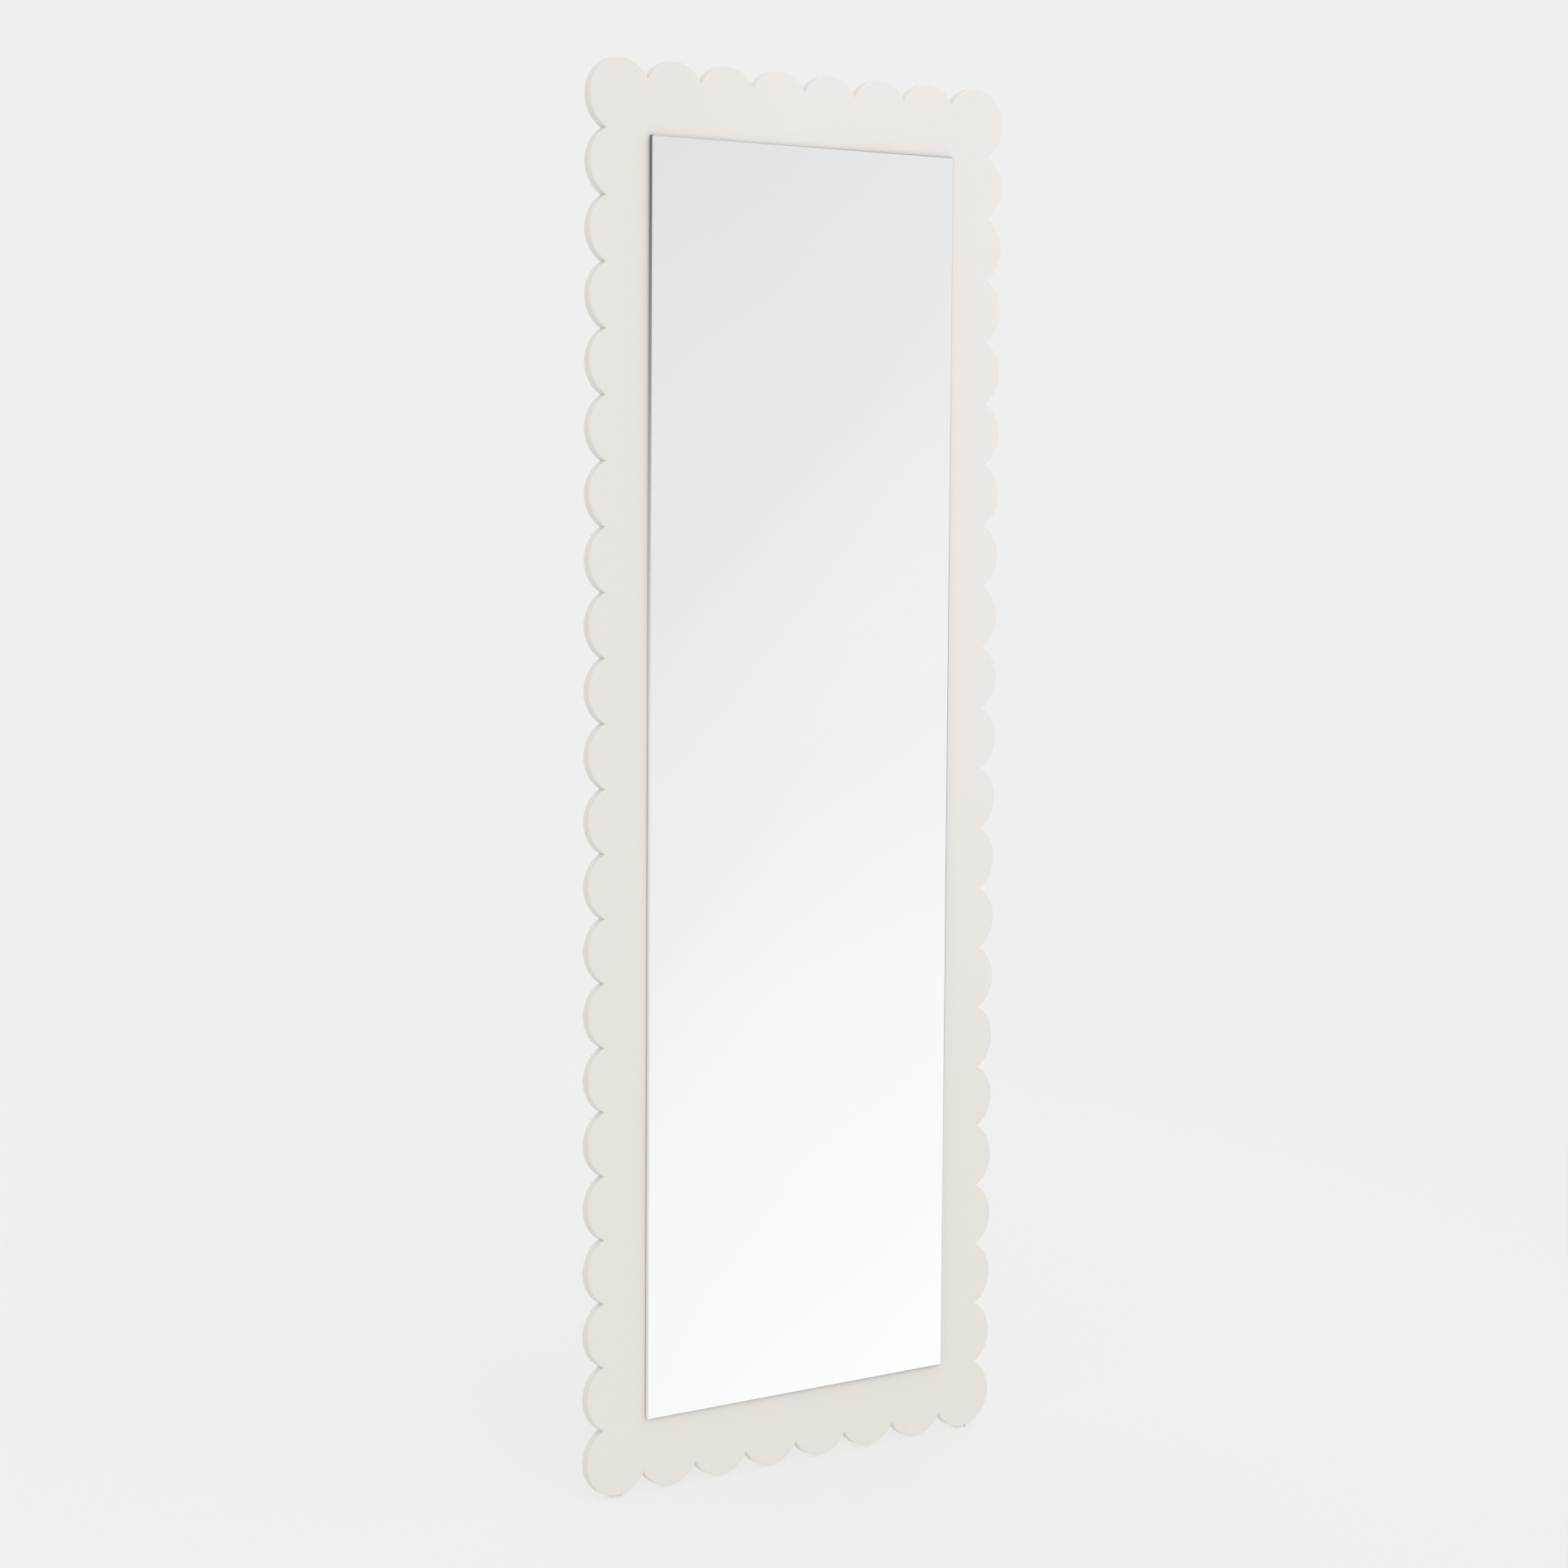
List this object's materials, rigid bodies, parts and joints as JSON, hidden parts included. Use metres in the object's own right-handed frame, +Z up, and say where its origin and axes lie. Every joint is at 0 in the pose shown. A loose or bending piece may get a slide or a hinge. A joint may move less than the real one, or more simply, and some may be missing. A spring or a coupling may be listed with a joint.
{
  "type": "floor mirror",
  "caption": "Full-length rectangular floor mirror on a flat painted board with a scalloped edge, standing on a hinged easel leg that folds flat against the back.",
  "frame": {"origin": "centre of the footprint box at the floor", "axes": "+Z up, +X to the right as seen from the front, +Y towards the back; the mirror faces -Y and leans back"},
  "size_m": [0.61, 0.2902, 1.6536],
  "materials": {
    "painted_board": "satin ivory paint on smooth fibreboard",
    "painted_wood": "satin ivory paint on solid wood, a little grain showing",
    "mirror": "silvered float glass with ground edges",
    "foam_tape": "matt closed-cell foam",
    "zinc_steel": "bright zinc plate",
    "nylon": "natural nylon",
    "rubber": "matt black rubber",
    "clear_rubber": "clear soft rubber"
  },
  "bodies": {
    "mirror": {"batten_left": "painted_wood", "batten_right": "painted_wood", "bracket_screw_left_inner_lower": "zinc_steel", "bracket_screw_left_inner_upper": "zinc_steel", "bracket_screw_left_outer_lower": "zinc_steel", "bracket_screw_left_outer_upper": "zinc_steel", "bracket_screw_right_inner_lower": "zinc_steel", "bracket_screw_right_inner_upper": "zinc_steel", "bracket_screw_right_outer_lower": "zinc_steel", "bracket_screw_right_outer_upper": "zinc_steel", "glass_tape_centre": "foam_tape", "glass_tape_left": "foam_tape", "glass_tape_right": "foam_tape", "glide_left": "clear_rubber", "glide_right": "clear_rubber", "hinge_rail": "painted_wood", "lower_cross_batten": "painted_wood", "mirror_glass": "mirror", "pivot_bolt_left": "zinc_steel", "pivot_bolt_right": "zinc_steel", "pivot_bracket_left": "zinc_steel", "pivot_bracket_right": "zinc_steel", "pivot_nut_left": "zinc_steel", "pivot_nut_right": "zinc_steel", "pivot_washer_left_inner": "nylon", "pivot_washer_left_outer": "nylon", "pivot_washer_right_inner": "nylon", "pivot_washer_right_outer": "nylon", "scalloped_panel": "painted_board", "stop_pad_left": "rubber", "stop_pad_right": "rubber", "top_cross_batten": "painted_wood"},
    "leg": {"leg_pad_left": "rubber", "leg_pad_right": "rubber", "leg_rail_left": "painted_wood", "leg_rail_right": "painted_wood", "leg_rung_bottom": "painted_wood", "leg_rung_middle": "painted_wood", "leg_rung_top": "painted_wood", "rung_screw_left_bottom": "zinc_steel", "rung_screw_left_middle": "zinc_steel", "rung_screw_left_top": "zinc_steel", "rung_screw_right_bottom": "zinc_steel", "rung_screw_right_middle": "zinc_steel", "rung_screw_right_top": "zinc_steel"}
  },
  "joints": [
    {"name": "leg_fold", "type": "hinge", "parent": "mirror", "child": "leg", "pos_m": [0, 0.01637, 1.04147], "axis": [1, 0, 0], "range_deg": [-12.5, 0]}
  ]
}
